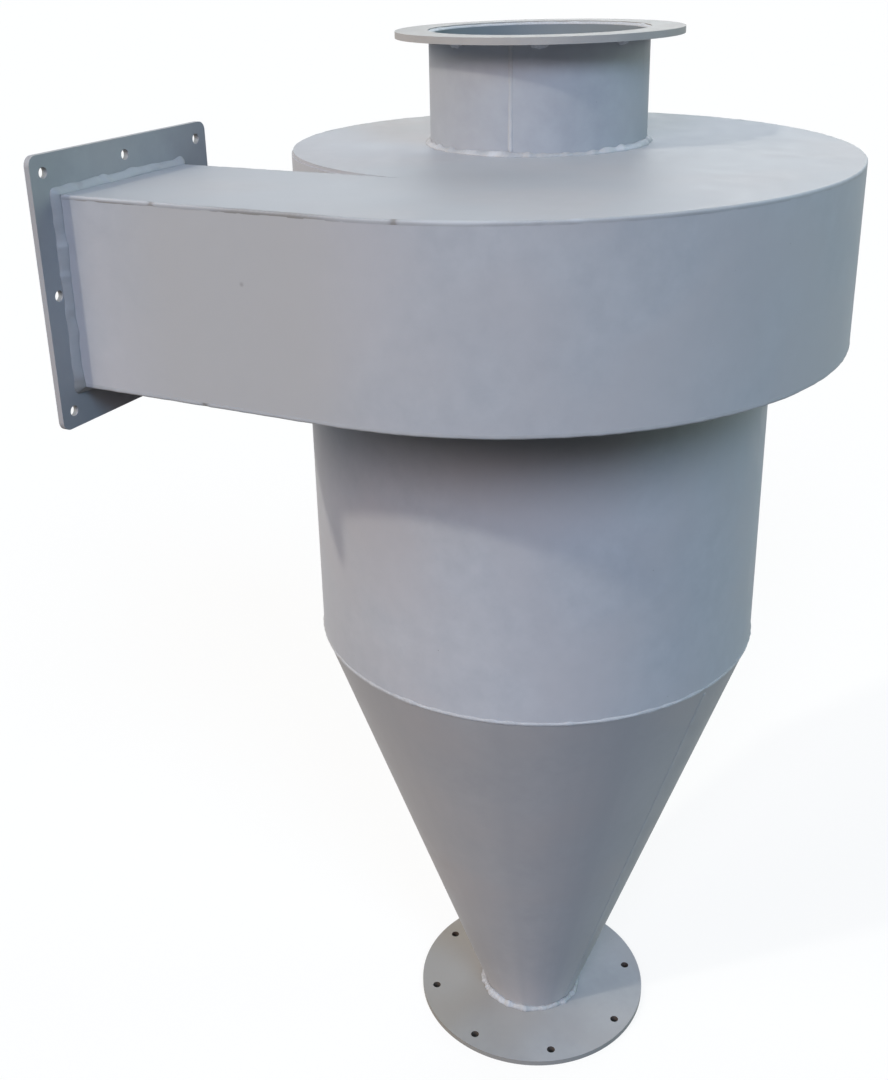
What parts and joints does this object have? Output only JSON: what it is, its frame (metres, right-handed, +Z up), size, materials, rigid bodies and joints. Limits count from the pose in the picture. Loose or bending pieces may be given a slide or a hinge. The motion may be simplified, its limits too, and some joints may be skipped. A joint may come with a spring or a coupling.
{
  "type": "air cyclone",
  "caption": "Welded steel dust cyclone with a rectangular scroll inlet, a round clean air outlet on top, a cone and a flanged dust outlet that it stands on.",
  "frame": {"origin": "centre of the dust flange at its underside, on the axis of the barrel, cone and outlet pipe", "axes": "+Z up along the axis, the inlet duct on the -Y side and opening towards -X"},
  "size_m": [0.5535, 0.6345, 1.102],
  "materials": {
    "primed_steel": "thin light grey primer on rolled steel sheet, low sheen, faint mottling",
    "primed_weld": "the same primer over rippled weld beads, slightly lighter"
  },
  "bodies": {
    "root": {"dust_flange": "primed_steel", "dust_flange_weld": "primed_weld", "cone": "primed_steel", "cone_seam_weld": "primed_weld", "cone_top_weld": "primed_weld", "barrel": "primed_steel", "barrel_seam_weld": "primed_weld", "barrel_top_weld": "primed_weld", "scroll_bottom_plate": "primed_steel", "scroll_wall": "primed_steel", "duct_inner_wall": "primed_steel", "tongue_weld": "primed_weld", "scroll_bottom_weld": "primed_weld", "scroll_top_weld": "primed_weld", "scroll_top_plate": "primed_steel", "inlet_flange": "primed_steel", "inlet_flange_weld": "primed_weld", "outlet_pipe": "primed_steel", "pipe_seam_weld": "primed_weld", "outlet_pipe_weld": "primed_weld", "outlet_flange": "primed_steel", "outlet_flange_weld": "primed_weld", "outlet_flange_tacks": "primed_weld"}
  },
  "joints": []
}
